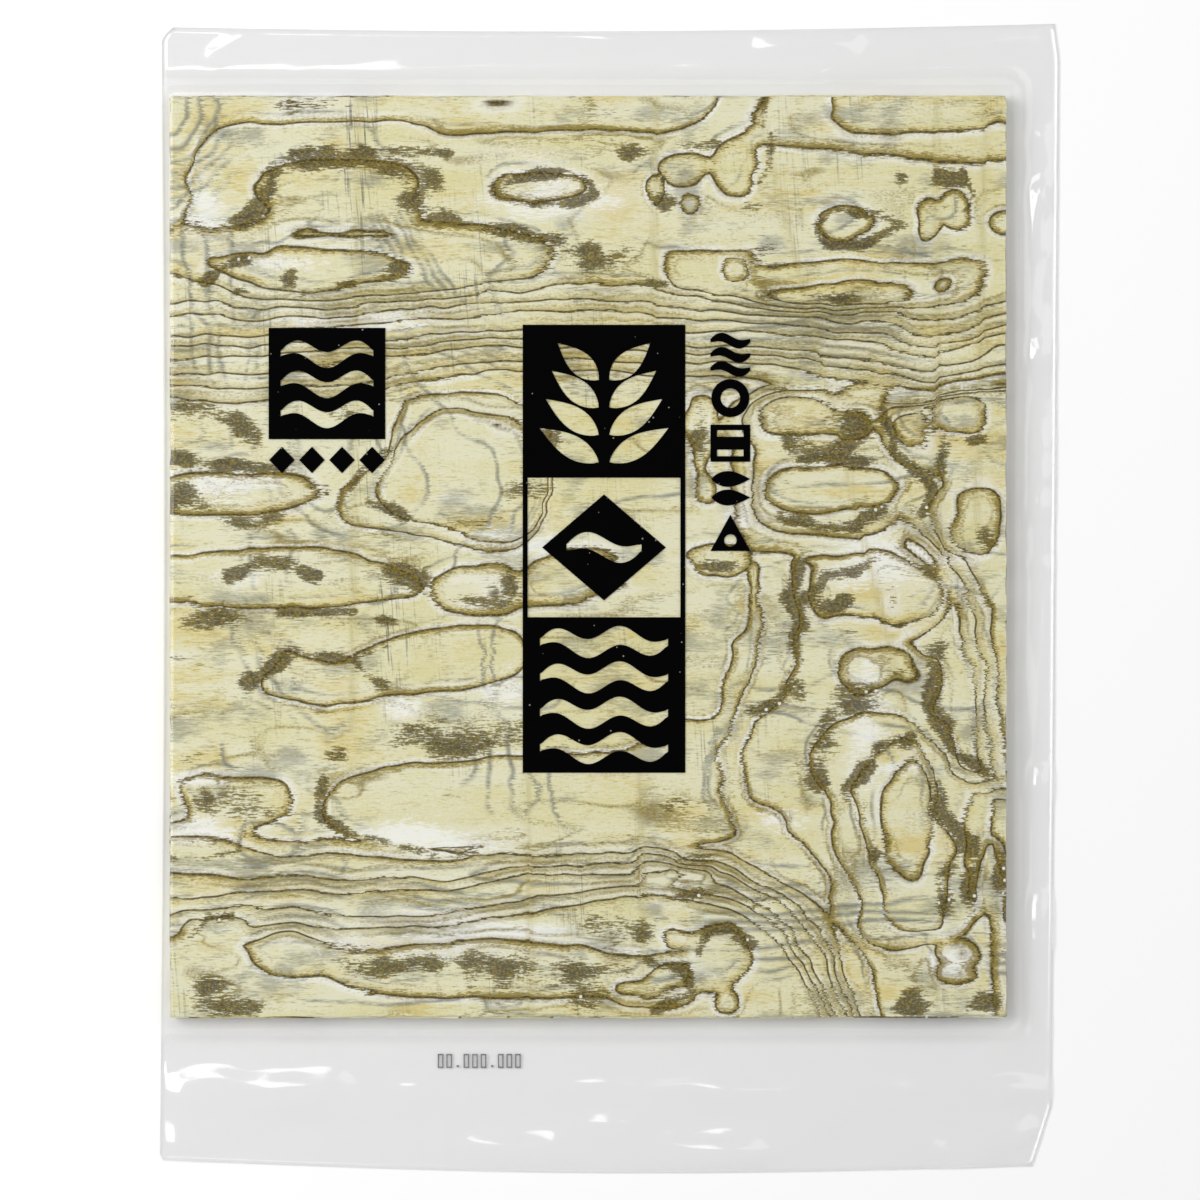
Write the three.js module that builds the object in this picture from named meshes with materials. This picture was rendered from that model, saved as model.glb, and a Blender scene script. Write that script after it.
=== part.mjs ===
// A flat, clear, sealed bag of dried kelp sheets, lying on its back.
//
// It is one closed solid. In the middle is a squared stack of pressed kelp sheets. The film lies close on
// the stack, rounds its edges, slopes down to the surface beside it and runs on as a thin two-ply margin,
// which has a few low folds. The stack sits hard against the bag's left edge, so the slack is on the right.
//
// Millimetres, +Z up. The origin is the middle of the bag's outline, on its flat back. +Y points to the
// top of the printed front, which faces up.

import * as THREE from "three";

// The kelp sheets, taken to be cut to the usual size of a sheet for sushi rolls.
const SHEET_WIDTH = 190;
const SHEET_HEIGHT = 210;
const SHEET_THICKNESS = 0.4;
const SHEET_COUNT = 12;
const STACK_HEIGHT = SHEET_COUNT * SHEET_THICKNESS;

// The bag, laid flat, and the clear margins beside the stack.
const BAG_WIDTH = 204.4;
const BAG_HEIGHT = 261.2;
const LEFT_MARGIN = 2.2;
const TOP_MARGIN = 16.2;
const FILM = 0.1; // film and the air under it, on the stack
const MARGIN_THICKNESS = 0.6; // two plies with the air between them

// How far the film runs out from the stack before it lies down, on each side.
const RUN = { left: 0.4, right: 4.4, top: 4, bottom: 5 };
const SHOULDER_RADIUS = 0.9; // of the film over the stack's top edge
const STACK_CORNER_RADIUS = 1.2; // of the film round the stack's upright edges
const FOOT_CORNER_RADIUS = 3.6; // of the line where the film lies down

// The bag's corners, anticlockwise from the bottom left. Each is cut off between two points, given as how
// far they lie in from the corner of the bag's full width and height, along X and along Y.
const CORNERS = [
  { first: [0, 3.2], last: [0.7, 3.0] },
  { first: [6.2, 1.6], last: [1.8, 15.2] },
  { first: [0, 8], last: [1.1, 0] },
  { first: [3, 0.8], last: [0.4, 3.2] },
];
// How far the middle of the side that follows each corner bows in from a straight line. A negative bow
// sags outwards.
const SIDE_BOWS = [-2.2, 0.1, 1.3, 0.8];

// Low folds in the film's margins: a ridge from one point to another, highest in the middle.
const FOLDS = [
  { from: [74, -131], to: [92, -118], height: 1.3, width: 1.6 },
  { from: [80, -104], to: [92, -97], height: 1.0, width: 1.3 },
  { from: [14, -131], to: [42, -124], height: 0.9, width: 3.0 },
  { from: [-104, 119.6], to: [102, 119.2], height: 0.5, width: 1.2 },
];

// How finely the surface is divided.
const SIDE_STEPS = 22;
const CORNER_STEPS = 4;
const MARGIN_STEPS = 5;
const SHOULDER_STEPS = 4;

const left = -BAG_WIDTH / 2;
const right = BAG_WIDTH / 2;
const bottom = -BAG_HEIGHT / 2;
const top = BAG_HEIGHT / 2;
const stack = {
  left: left + LEFT_MARGIN,
  right: left + LEFT_MARGIN + SHEET_WIDTH,
  top: top - TOP_MARGIN,
  bottom: top - TOP_MARGIN - SHEET_HEIGHT,
};

// One closed ring, anticlockwise from the bottom edge's left end. Each corner is CORNER_STEPS + 1 points
// between its two ends, and each side SIDE_STEPS - 1 points more, so that all rings match point for point.
function ring(corners, onCorner, onSide) {
  const points = [];
  corners.forEach((corner, i) => {
    const next = corners[(i + 1) % corners.length];
    for (let k = 0; k <= CORNER_STEPS; k++) {
      points.push(onCorner(corner, k / CORNER_STEPS));
    }
    for (let k = 1; k < SIDE_STEPS; k++) {
      points.push(onSide(corner, next, k / SIDE_STEPS));
    }
  });
  return points;
}

// The bag's outer edge: cut corners, and sides that bow a little.
function bagOutline() {
  const boxCorners = [
    [left, bottom],
    [right, bottom],
    [right, top],
    [left, top],
  ];
  const corners = CORNERS.map((cut, i) => {
    const [x, y] = boxCorners[i];
    const inset = ([dx, dy]) => new THREE.Vector2(x - Math.sign(x) * dx, y - Math.sign(y) * dy);
    return { first: inset(cut.first), last: inset(cut.last), bow: SIDE_BOWS[i] };
  });
  return ring(
    corners,
    (corner, t) => corner.first.clone().lerp(corner.last, t),
    (corner, next, t) => {
      const along = next.first.clone().sub(corner.last);
      const inward = new THREE.Vector2(-along.y, along.x).normalize();
      const straight = corner.last.clone().lerp(next.first, t);
      return straight.addScaledVector(inward, corner.bow * Math.sin(Math.PI * t));
    },
  );
}

// A rectangle round the stack, grown by `grow` on each side, with round corners.
function stackRing(grow, radius) {
  const box = {
    left: stack.left - grow.left,
    right: stack.right + grow.right,
    bottom: stack.bottom - grow.bottom,
    top: stack.top + grow.top,
  };
  const corners = [
    { centre: [box.left + radius, box.bottom + radius], turn: Math.PI },
    { centre: [box.right - radius, box.bottom + radius], turn: 1.5 * Math.PI },
    { centre: [box.right - radius, box.top - radius], turn: 0 },
    { centre: [box.left + radius, box.top - radius], turn: 0.5 * Math.PI },
  ];
  const onArc = (corner, t) => {
    const angle = corner.turn + (t * Math.PI) / 2;
    return new THREE.Vector2(
      corner.centre[0] + radius * Math.cos(angle),
      corner.centre[1] + radius * Math.sin(angle),
    );
  };
  return ring(corners, onArc, (corner, next, t) => onArc(corner, 1).lerp(onArc(next, 0), t));
}

// How much the folds lift the film at a point.
function foldLift(point) {
  let lift = 0;
  for (const { from, to, height, width } of FOLDS) {
    const start = new THREE.Vector2(...from);
    const along = new THREE.Vector2(...to).sub(start);
    const t = point.clone().sub(start).dot(along) / along.lengthSq();
    if (t > 0 && t < 1) {
      const away = point.distanceTo(start.clone().addScaledVector(along, t));
      lift = Math.max(lift, height * Math.sin(Math.PI * t) * Math.exp(-((away / width) ** 2)));
    }
  }
  return lift;
}

// Raises a ring to one height, and to the folds too where it lies in the margin.
const raise = (points, z, folded = false) =>
  points.map((p) => new THREE.Vector3(p.x, p.y, z + (folded ? foldLift(p) : 0)));

// The rings from the bag's edge on its back, up over the margin and the shoulder, to the top of the stack.
function skinRings() {
  const outline = bagOutline();
  const foot = stackRing(RUN, FOOT_CORNER_RADIUS);
  const rings = [raise(outline, 0), raise(outline, MARGIN_THICKNESS)];
  for (let k = 1; k <= MARGIN_STEPS; k++) {
    const t = k / MARGIN_STEPS;
    rings.push(raise(outline.map((p, i) => p.clone().lerp(foot[i], t)), MARGIN_THICKNESS, true));
  }
  const level = STACK_HEIGHT + FILM;
  for (let k = 0; k <= SHOULDER_STEPS; k++) {
    const angle = ((k / SHOULDER_STEPS) * Math.PI) / 2;
    const out = FILM - SHOULDER_RADIUS * (1 - Math.cos(angle));
    const grow = { left: out, right: out, top: out, bottom: out };
    const z = level - SHOULDER_RADIUS + SHOULDER_RADIUS * Math.sin(angle);
    rings.push(raise(stackRing(grow, STACK_CORNER_RADIUS), z));
  }
  return rings;
}

// Joins the rings into one closed surface, with a fan over each end.
function closedSkin(rings) {
  const size = rings[0].length;
  const faces = [];
  for (let r = 0; r + 1 < rings.length; r++) {
    for (let i = 0; i < size; i++) {
      const j = (i + 1) % size;
      const [a, b, c, d] = [r * size + i, r * size + j, (r + 1) * size + j, (r + 1) * size + i];
      faces.push(a, b, c, a, c, d);
    }
  }
  const points = rings.flat();
  const underside = points.push(new THREE.Vector3(0, 0, 0)) - 1;
  const last = rings.length - 1;
  const upperside =
    points.push(
      new THREE.Vector3(
        (stack.left + stack.right) / 2,
        (stack.bottom + stack.top) / 2,
        STACK_HEIGHT + FILM,
      ),
    ) - 1;
  for (let i = 0; i < size; i++) {
    const j = (i + 1) % size;
    faces.push(underside, j, i);
    faces.push(upperside, last * size + i, last * size + j);
  }
  const geometry = new THREE.BufferGeometry().setFromPoints(points);
  geometry.setIndex(faces);
  geometry.computeVertexNormals();
  return geometry;
}

function sealedBag() {
  const material = new THREE.MeshStandardMaterial({ color: 0xd9d3a8, roughness: 0.35, metalness: 0 });
  const mesh = new THREE.Mesh(closedSkin(skinRings()), material);
  mesh.name = "sealed_bag";
  return mesh;
}

const kelpPack = new THREE.Group();
kelpPack.add(sealedBag());

export default kelpPack;
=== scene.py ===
import math

import bmesh
import bpy
import numpy as np
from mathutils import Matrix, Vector


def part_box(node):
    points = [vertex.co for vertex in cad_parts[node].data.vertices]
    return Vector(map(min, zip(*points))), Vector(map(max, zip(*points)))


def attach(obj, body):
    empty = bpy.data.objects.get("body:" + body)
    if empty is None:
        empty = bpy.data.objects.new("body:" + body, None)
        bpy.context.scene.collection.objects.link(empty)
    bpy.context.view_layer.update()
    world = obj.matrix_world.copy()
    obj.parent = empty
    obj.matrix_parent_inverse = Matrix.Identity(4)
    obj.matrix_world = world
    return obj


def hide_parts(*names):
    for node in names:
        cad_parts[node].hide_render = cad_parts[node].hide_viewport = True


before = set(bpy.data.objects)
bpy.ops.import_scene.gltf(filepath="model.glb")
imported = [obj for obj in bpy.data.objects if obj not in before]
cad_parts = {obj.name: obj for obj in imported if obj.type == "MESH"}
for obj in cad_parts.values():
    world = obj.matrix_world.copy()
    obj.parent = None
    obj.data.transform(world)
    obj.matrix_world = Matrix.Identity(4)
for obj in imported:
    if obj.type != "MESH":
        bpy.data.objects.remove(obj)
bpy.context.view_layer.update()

# ---------------------------------------------------------------------------------------------------------
# Camera. It looks straight down on the printed front, from far enough that the stack's sides don't show.

CAMERA_HEIGHT = 1.3
FIELD_WIDTH = 0.2727
SENSOR_WIDTH = 36
LOOKS_AT = (-0.0022, -0.0003)


def placed(name, data):
    """A new object in the scene."""
    made = bpy.data.objects.new(name, data)
    bpy.context.collection.objects.link(made)
    return made


camera_data = bpy.data.cameras.new("camera")
camera_data.sensor_width = SENSOR_WIDTH
camera_data.lens = SENSOR_WIDTH * CAMERA_HEIGHT / FIELD_WIDTH
camera = placed("camera", camera_data)
camera.location = (*LOOKS_AT, CAMERA_HEIGHT)
bpy.context.scene.camera = camera


# ---------------------------------------------------------------------------------------------------------
# The stack of kelp sheets. Each sheet is made of shavings cut along a dried kelp blade, laid side by side
# and pressed. The shaver cuts across the blade's layers, so its skin shows as brown contour lines, as the
# rings do on a plank. The sheets are cut square in one pile, and lie a little out of line.
# Sizes from here on are in millimetres: +X to the right of the print, +Y to its top, +Z out of its front.

MM = 0.001
bag_low, bag_high = (np.array(corner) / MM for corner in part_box("sealed_bag"))
bag_left, bag_bottom = bag_low[:2]
bag_right, bag_top = bag_high[:2]
SHEET_SIZE = (189.2, 208.2)
SHEET_COUNT = 12
SHEET_PITCH = 0.4
SHEET_THICKNESS = 0.34
LEFT_MARGIN = 2.7
TOP_MARGIN = 17.0
stack_left = bag_left + LEFT_MARGIN
stack_right = stack_left + SHEET_SIZE[0]
stack_top = bag_top - TOP_MARGIN
stack_bottom = stack_top - SHEET_SIZE[1]
stack_middle = ((stack_left + stack_right) / 2, (stack_bottom + stack_top) / 2)
stack_height = SHEET_COUNT * SHEET_PITCH
SLIP = (0.4, 1.0)  # how far a sheet may stand out of the pile, sideways and along it
FIRST_SHEET_LEVEL = 0.2
SHEET_SHIFT, SHEET_TURN = (0.12, 0.4), 0.08  # how far the sheets lie out of line, and in degrees


def ripple(x, y, long, tall, seed):
    """Smooth noise from -1 to 1, in lumps that are long by tall millimetres."""
    lattice = np.random.default_rng(seed).uniform(-1, 1, (256, 256))
    u = x / long + 512
    v = y / tall + 512
    i = np.floor(u).astype(int)
    j = np.floor(v).astype(int)
    f = u - i
    g = v - j
    f = f * f * (3 - 2 * f)
    g = g * g * (3 - 2 * g)
    low = lattice[i % 256, j % 256] * (1 - f) + lattice[(i + 1) % 256, j % 256] * f
    high = lattice[i % 256, (j + 1) % 256] * (1 - f) + lattice[(i + 1) % 256, (j + 1) % 256] * f
    return low * (1 - g) + high * g


def ripples(x, y, *noises):
    """Smooth noises added up. Each is given as its strength, length, height and seed."""
    return sum(strength * ripple(x, y, *noise) for strength, *noise in noises)


# Bands of close lines across the sheet: how many layers each rises by, its width, the share of its width
# that it loses with each millimetre to the right, and its middle as a path. The second one falls.
BANDS = [
    (8, 22, 0.0005, [
        (-105, 56), (-59, 56), (-36, 59.5), (-16, 61), (0, 61.5), (16, 59.5), (32, 58.5), (50, 58),
        (62, 56.5), (75, 53), (92, 58)]),
    (6, -17, 0.005, [
        (-105, -66), (-70, -66), (-38, -66), (-2, -61), (16, -62), (30, -66), (40, -71), (47, -79),
        (52, -90), (58, -112)]),
]
# The band that runs up the right side.
RIGHT_BAND = [
    (92, -110), (90, -40), (86, -18), (82, -8), (81, 2), (78, 9), (72, 13), (71, 20), (73, 25), (67, 32),
    (64, 40), (67, 44), (84, 47), (110, 50),
]
RIGHT_BAND_LINES, RIGHT_BAND_WIDTH = 3, 10
UNEVEN = 0.034  # how much the lines of a band bunch together and draw apart

# Closed lines, where the shaver met a dimple in the blade: the middle, half the width and height, how
# square it is, and how sharp its edge is.
DIMPLES = [
    (-56, 76, 45, 8, 2.2, 9), (-70, 73.5, 22.5, 5.2, 2.2, 7), (-62, 90, 17, 9, 4, 8),
    (-15, 93, 11, 3.4, 2.4, 5), (18.5, 90, 2.2, 2, 2, 7), (29, 76, 2.8, 2.4, 5, 7), (23, 75, 9.5, 5, 4, 10),
    (53.5, 85.5, 7, 4.3, 1.7, 5), (71, 86, 2.8, 4.8, 2, 6), (77, 88.5, 3.4, 4.6, 2, 6),
    (58, 72, 26, 5, 5, 12), (50, 69, 17, 3.2, 4, 8), (75, 124, 26, 18, 5, 14), (70, 122, 37, 21.5, 4, 12),
    (10.8, 92.5, 1.6, 3.6, 2, 5), (75.5, 71.5, 1.6, 1.4, 2, 5), (28, 97, 4.5, 6, 2.6, 6),
    (17, 97, 5, 4, 2.6, 5), (88, 86, 4, 3, 2.2, 6), (-30, 3, 8, 5.5, 3, 7), (-88, 25, 16, 5, 2.2, 5),
    (-10, 5, 9, 5, 2.3, 5), (20, 37, 3, 9, 2.4, 5), (21, 24, 2.6, 4, 2.2, 5), (24, 8, 6, 3, 2.4, 6),
    (49, 24.6, 16.2, 5.6, 2.6, 14), (42.5, 41, 8.8, 4.6, 2.3, 6), (55, 39.8, 4, 3, 2.2, 4),
    (49.5, 30.5, 18.8, 17, 3.6, 16), (48.5, 29, 22.5, 20, 3.4, 16), (61, 2, 14, 6.6, 2.4, 7),
    (80, 41, 5, 3.8, 4, 8), (84, 18, 4.5, 7, 2.4, 5), (67, -49, 5, 12, 2.4, 5), (60, -16, 7, 5, 2.6, 6),
    (85, -56, 4.5, 15, 2.5, 6), (87, -30, 5, 10, 2.4, 6), (-86, -46, 12, 5, 4, 8), (-94, -55, 11, 4, 3, 7),
    (-89, -74, 7, 3, 2.4, 6), (78.5, -80.3, 4, 1.8, 2.4, 6), (78, -84.3, 3.4, 1.7, 2.2, 6),
    (25.5, -81, 7, 6.5, 2.6, 7), (26, -92, 2.4, 2.4, 2, 6), (13.5, -87, 5.5, 5.5, 2.6, 7),
    (15, -77, 3.2, 1.7, 2.2, 5), (10.5, -61, 4, 4, 5, 8), (18.5, -62, 5, 1.8, 3, 6),
    (-20, -84, 38, 6, 2.4, 6), (-74, -80, 8, 4.5, 2.4, 5), (5, -89, 5, 3, 2.2, 5),
]

# Closed lines of other shapes: the corners of each.
LOOPS = [
    [(31, 6), (33, 6), (33.3, -4), (34, -7), (32.3, -14), (30.5, -20), (27.5, -27), (25, -33), (23.5, -42),
     (27, -49), (29.5, -54.5), (20, -56), (0, -53), (-15, -54.3), (-38, -59), (-56, -54.3), (-64, -52),
     (-65, -46), (-60, -40), (-52, -38), (-30, -36), (10, -33), (12, -27), (23, -25.5), (25, -22),
     (26.5, -15), (27.5, -9), (31, -6)],
    [(41, 9), (41, 0), (44, -6), (41.5, -9), (43, -15), (40, -18), (40, -22), (35, -25.5), (31, -27),
     (30, -35), (30, -45), (37, -47), (40, -50), (39, -53), (46, -57), (49, -64), (49.5, -72), (56, -78),
     (60, -83), (62, -100), (110, -100), (110, -46), (90, -42.5), (81, -39), (77, -35), (76, -28),
     (71, -25), (75, -20), (75, -13), (70, -12.5), (66, -9.5), (72, -8), (76, -2), (75.5, 4), (68, 10),
     (60, 11), (50, 9)],
    [(58, -38), (54.5, -42), (56.5, -47), (55, -51), (59, -58), (61, -65), (61, -71), (65, -75.5),
     (72, -76), (76, -73), (76, -64), (79, -57), (79, -53), (74.5, -50), (74, -42), (70, -36), (67, -29)],
    [(50, -30), (46, -33), (45.5, -40), (49.5, -45), (50, -58), (54.5, -62), (56.5, -68), (55.5, -73),
     (59, -79), (66, -80), (74, -79), (83, -74), (83, -60), (86, -54), (89, -56), (90, -64), (88, -74),
     (110, -76), (110, -48), (90, -46), (80, -41), (72, -33), (69, -27), (60, -26)],
    [(-110, 84), (-96, 85), (-94, 97), (-92.5, 106), (-88, 108), (-62, 109), (-46, 107.8), (-36, 105),
     (-10, 106), (9, 105), (21, 108.5), (24, 114), (24, 130), (-110, 130)],
    [(-44, 47), (-47, 40), (-50, 34), (-58, 28), (-62, 22), (-58, 16), (-40, 14.5), (-22, 10), (-14, 20),
     (-14, 46)],
    [(-53, 30), (-52, 21), (-44, 17.5), (-21, 12), (-14, 20), (-15, 38), (-38, 43), (-45, 37)],
    [(-110, 8), (-90, 10.5), (-73, 12.5), (-56, 9.6), (-43, 6), (-42, 2), (-52, -1), (-63, -3.2), (-82, -2),
     (-110, -1)],
    [(-82, -19.5), (-76, -15), (-74, -10), (-66, -13.7), (-57, -13), (-48, -7.5), (-25, -5.5), (-15, -12),
     (-25, -20.5), (-46, -20.6), (-60, -23.5), (-74, -23)],
]
LOOP_SLOPE = 2.6  # how far it is over the edge of a loop, from one layer to the next

# Thick ragged bands of skin, where a layer lies nearly level: half the width, and the band's path.
SKIN_BANDS = [
    (2.3, [(-83, 85), (-79, 89), (-78, 94), (-75, 98), (-66, 99.2), (-54, 99), (-46, 96.5)]),
    (1.3, [(-72, 101.2), (-56, 101.4), (-37, 101)]), (3.4, [(-45, 96), (-40, 94), (-44, 90.5), (-39, 88)]),
    (1.7, [(-40, 88), (-33, 85), (-26, 83), (-10, 81.3)]),
    (1.3, [(-26, 93), (-21, 95.6), (-10, 96.4), (-5, 95), (-3.5, 91.5), (-9, 90), (-18, 89.4), (-26, 92)]),
    (1.2, [(-92, 71.5), (-88, 75), (-83, 77)]), (1.9, [(-51, 73.5), (-47, 75)]),
    (1.1, [(-84, 69.5), (-76, 70)]), (1.1, [(-70, 69.5), (-58, 71.4)]),
    (1.3, [(60, 87.5), (50, 89.3), (47, 85), (50, 80.6), (57, 80.2), (61, 83), (67, 85.3), (60, 87.5)]),
    (1.1, [(34.5, 113.5), (34.3, 107.5)]), (1.2, [(36, 105), (36.5, 99), (34, 94)]),
    (2.0, [(74, 96), (79, 95)]), (1.0, [(80, 97), (82, 92), (80, 84)]),
    (1.5, [(39, 18.6), (47, 17), (56, 17), (62, 18.8)]), (2.5, [(41, 35.5), (48, 33.5), (53, 35)]),
    (1.2, [(43, 32), (60, 32)]), (1.3, [(62, 44), (64, 38), (64, 34), (71, 28.5), (74, 24), (71, 18)]),
    (1.6, [(46, 1), (48, 5), (56, 6.5), (62, 9.5), (68, 7.8), (75, 4)]),
    (1.8, [(45, 0), (50, -2.5), (53, -1)]),
    (1.8, [(42, 7), (41, 0), (44, -6), (42, -9), (43, -15), (40, -19.5), (37, -24), (32, -25.5)]),
    (2.7, [(73, -12.5), (74.5, -17), (72.5, -23), (75, -28)]), (3.2, [(48.5, -31), (46.5, -36), (46.5, -41)]),
    (2.1, [(58, -38), (54, -42), (57, -47), (56, -51), (60, -57)]), (1.9, [(61, -34), (68, -31)]),
    (2.3, [(73, -41), (75, -48), (80, -54), (79, -58), (76, -63), (76, -70)]),
    (1.2, [(76, -29), (77, -34), (84, -38.5), (90, -41.5)]), (2.4, [(82, -56), (82, -72)]),
    (2.6, [(-100, 42), (-90, 42), (-84, 40), (-80, 36)]),
    (1.7, [(-100, 32), (-90, 31), (-80, 29.3), (-72, 29)]), (1.4, [(-50, 33), (-57, 28), (-61, 22)]),
    (1.3, [(-54, 22), (-45, 18.4)]), (1.9, [(-86, 5.2), (-80, 7.6), (-73, 7.8), (-67, 5)]),
    (2.8, [(-50, 6), (-44, 4)]), (1.3, [(-74, -3), (-58, -3)]),
    (2.5, [(-81, -18.5), (-76, -15), (-71, -12)]),
    (1.5, [(-70, -12.5), (-58, -14), (-53, -19.5), (-46, -21)]), (1.5, [(-58, -13.5), (-51, -10)]),
    (1.6, [(-65, -42), (-65, -49)]),
    (1.1, [(-65, -50), (-57, -53.5), (-45, -57), (-38, -59), (-30, -57.2)]),
    (1.1, [(-100, -59), (-92, -58.6), (-84, -57), (-83, -51)]),
    (1.5, [(-95, -76), (-91, -72.5), (-86, -71.5)]),
    (1.3, [(20, -80), (22, -74.5), (27, -74.3), (32, -78)]),
    (1.5, [(9, -82.5), (17, -83), (18, -89), (11, -93)]),
]

# Brown patches: the middle, and half the width and height.
SKIN_PATCHES = [
    (-74, 111.5, 3, 1.2), (-72.8, 72.3, 3.4, 2.2), (-3, 77.5, 9, 3.4), (6, 101, 4.5, 2.6), (38, 69, 5, 1.5),
    (51, 68.6, 7, 1.7), (66, 95.5, 1.8, 1.8), (22, 103, 5, 2), (31, 89.5, 3.5, 1.8), (12, 90, 2.4, 2.4),
    (11, 71.8, 4, 1.1), (-96, 23, 6, 3.6), (-28, -1.2, 7, 2), (-22, 4, 2.6, 4), (-17, 25, 7, 3),
    (-14, 37, 6, 3), (-92, -4.5, 9, 2.6), (-56, 41, 5, 3), (-33, -32, 15, 4.4), (-86, -46.5, 12, 4.4),
    (-95, -36, 4, 2), (-62, -35, 4, 2), (-90, -87.5, 5, 2), (-86, -91.7, 7, 2.2), (-50, -82.4, 14, 2.6),
    (-30, -83, 14, 2.4), (-15, -84, 17, 4), (-4, -90, 7, 3.6), (3, -75, 8, 4), (16, -46, 3.6, 2),
    (18, -59, 6, 1.6), (18, -67, 7, 1.3), (36, -68, 4, 2), (55, 39.8, 5, 3.6), (54.6, -22, 5, 4.6),
    (54, -14.5, 3, 1.4), (54, -8, 4, 1.6), (64, -16.5, 4, 1.3), (50, -29, 3, 4), (20, 36, 2.4, 7),
    (25, 8, 6, 1.4), (86, 14, 3, 3), (75, 30, 1.8, 5), (89, -62, 2.4, 5), (68, -92, 5, 3), (84, -91, 4, 3),
    (38, 47, 4, 1.4), (-80, 18, 8, 1.6), (-50, -4.8, 3, 1), (82, 36, 4, 1.4), (43, -20, 2.4, 4),
]

# Pale, frothy places, where the blade's soft middle layer shows.
PITH_PATCHES = [
    (-15, 93, 16, 7), (-30, -76.5, 28, 5), (-93, -52, 8, 4), (-40, -54, 16, 4), (-92, 90, 4, 7),
    (62, 10, 20, 8), (58, -30, 5, 16), (-85, 26, 14, 5), (-20, -20, 10, 6), (78, -83, 6, 3),
    (-60, 62, 30, 4), (-84, 4, 8, 3), (-92, 87, 5, 6), (-74, 76, 12, 2.4), (30, 20, 5, 6), (38, -50, 6, 3),
    (66, -38, 8, 2), (-47, -25, 5, 4), (79, -80.3, 3.2, 1.3), (78, -84.3, 2.4, 1.1), (-88, -41, 12, 1.4),
    (-90, -53, 9, 2.2), (-16, 12, 14, 4),
]

# Deep yellow places, where the flesh is thick.
YELLOW_PATCHES = [
    (53, 24.5, 11, 2.6), (-65, 52, 6, 5), (-66, 24, 5, 3), (-86, -52, 6, 5), (60, 1, 8, 3), (32, -2, 6, 5),
    (66, -56, 7, 3), (15, -77, 4, 1.8), (-78, -33, 5, 4), (86, 18, 5, 3), (-46, -60, 6, 3), (85, -86, 5, 4),
    (-40, 5, 8, 3),
]

# Seams between shavings: where each is at the stack's top edge, how it leans, and its two ends along Y.
SEAMS = [
    (-57, -0.01, -30, 120), (10.1, 0, 58, 120), (33.4, 0.241, -32, 120), (32.3, 0, -10, 26),
    (73.8, 0.01, 10, 120), (85, -0.02, 12, 120), (2, 0.03, -90, -20), (-20, 0.01, -100, 10),
]
SEAM_SLIP = 0.7  # how far the pattern slips along a seam
SEAM_HALF_WIDTH = 0.9
CROWD_REACH = 4.0  # how far round a point its lines are counted
FRAY_LEVEL, FRAY_SIDEWAYS = 0.3, 3.0  # how far the fibres fray a line, in layers, and in mm along them

# Noises, each with its strength, length, height and seed: how far the lines wander, in mm, and how the
# layers swell, in layers, where the fibres run across the sheet and where they run up it.
WANDER_ACROSS = ((1.2, 26, 16, 1), (0.8, 7, 5, 2), (0.5, 3, 2.4, 5))
WANDER_UP = ((1.1, 30, 20, 3), (0.6, 9, 7, 4), (0.35, 3.4, 3, 6))
SWELL = ((0.34, 34, 8, 7), (0.22, 12, 3.4, 8))
SWELL_UPRIGHT = ((0.32, 8, 28, 9), (0.22, 4, 10, 10))

# How strong each look of the kelp is over the sheet: its mean, then the noises on it.
LOOKS = {
    "skin": (-0.15, (0.35, 8, 2.2, 30), (0.7, 4, 5, 46)),
    "pith": (0, (0.6, 16, 3, 31)),
    "tone": (0.45, (0.45, 38, 5, 32), (0.3, 14, 1.8, 33)),
    "yellow": (0.42, (0.45, 15, 6, 34), (0.25, 9, 2, 35)),
    "seen_below": (0.3, (1.1, 13, 9, 36), (0.35, 4, 3, 43)),
    "seen_beside": (0.25, (1.0, 11, 7, 37), (0.35, 4, 3, 44)),
    "grey": (-0.28, (0.9, 9, 5, 38), (0.35, 3.5, 2, 39)),
    "scored": (-0.25, (0.55, 7, 30, 40), (0.5, 3, 9, 45)),
    "broad": (0.5, (0.5, 12, 7, 41)),
}


def across(path, x, y):
    """How far a point lies above a path that runs across the sheet."""
    xs, ys = np.array(path).T
    fine = np.linspace(xs[0], xs[-1], 200)
    smooth = np.convolve(np.pad(np.interp(fine, xs, ys), 8, mode="edge"), np.ones(17) / 17, "valid")
    slope = np.interp(x, fine, np.gradient(smooth, fine))
    return (y - np.interp(x, fine, smooth)) / np.hypot(1, slope)


def skin_level(x, y):
    """How many of the blade's layers lie over a point. Each whole number and a half is a brown line."""
    wx = x + ripples(x, y, *WANDER_ACROSS)
    wy = y + ripples(x, y, *WANDER_UP)
    level = np.zeros_like(x)
    for lines, width, narrowing, path in BANDS:
        part = np.clip(0.5 + across(path, wx, wy) / (width * (1 - narrowing * wx)), 0, 1)
        level += lines * (part + UNEVEN * np.sin(16 * part + x / 33) * np.sin(np.pi * part))
    xs, ys = np.array(RIGHT_BAND).T
    level += RIGHT_BAND_LINES * np.clip(0.5 + (wx - np.interp(wy, ys, xs)) / RIGHT_BAND_WIDTH, 0, 1)
    for cx, cy, rx, ry, square, sharp in DIMPLES:
        reach = (np.abs((wx - cx) / rx) ** square + np.abs((wy - cy) / ry) ** square) ** (1 / square)
        level += 1 / (1 + np.minimum(reach, 9) ** sharp)
    for loop in LOOPS:
        part = np.clip(0.5 + within(loop, wx, wy) / LOOP_SLOPE, 0, 1)
        level += part * part * (3 - 2 * part)
    lower_right = np.clip((x - 22) / 16, 0, 1) * np.clip((18 - y) / 16, 0, 1)
    swell = ripples(x, y, *SWELL) * (1 - lower_right) + ripples(x, y, *SWELL_UPRIGHT) * lower_right
    return level + swell


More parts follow.
